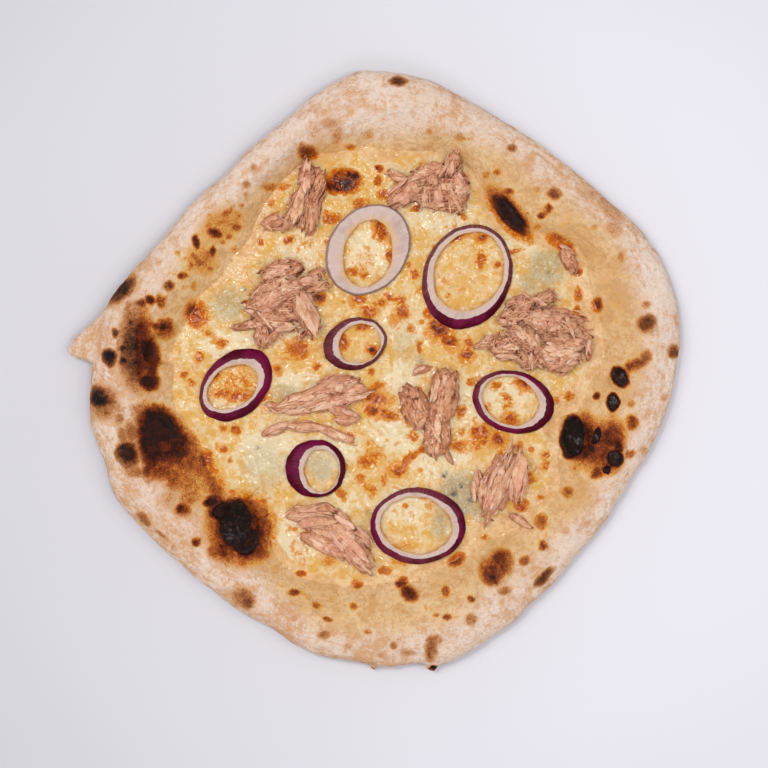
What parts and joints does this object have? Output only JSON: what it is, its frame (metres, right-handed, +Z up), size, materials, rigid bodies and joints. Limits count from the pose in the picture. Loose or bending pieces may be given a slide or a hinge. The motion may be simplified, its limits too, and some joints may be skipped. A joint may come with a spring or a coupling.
{
  "type": "tuna pizza",
  "caption": "Whole baked pizza with a puffy charred crust, melted cheese, red onion rings and flaked tuna, lying flat and ready to slice.",
  "frame": {"origin": "middle of the crust's flat underside, at the centre of the bounding box", "axes": "+Z up, from the underside to the toppings; +Y towards the top of the pizza as seen from above, +X to its right"},
  "size_m": [0.3259, 0.3208, 0.0192],
  "materials": {
    "crust": "floury baked dough, pale with brown and charred spots",
    "cheese": "glossy melted cheese, pale yellow with browned spots",
    "onion": "moist purple skin with a pale lilac cut face",
    "tuna": "moist pinkish-beige flakes with a fine grain"
  },
  "bodies": {
    "root": {"crust": "crust", "melted_cheese": "cheese", "onion_ring_1": "onion", "onion_ring_2": "onion", "onion_ring_3": "onion", "onion_ring_4": "onion", "onion_ring_5": "onion", "onion_ring_6": "onion", "onion_ring_7": "onion", "tuna_flakes_1": "tuna", "tuna_flakes_2": "tuna", "tuna_flakes_3": "tuna", "tuna_flakes_4": "tuna", "tuna_flakes_5": "tuna", "tuna_flakes_6": "tuna", "tuna_flakes_7": "tuna", "tuna_flakes_8": "tuna", "tuna_flakes_9": "tuna", "tuna_flakes_10": "tuna", "tuna_flakes_11": "tuna", "tuna_flakes_12": "tuna", "tuna_flakes_13": "tuna"}
  },
  "joints": []
}
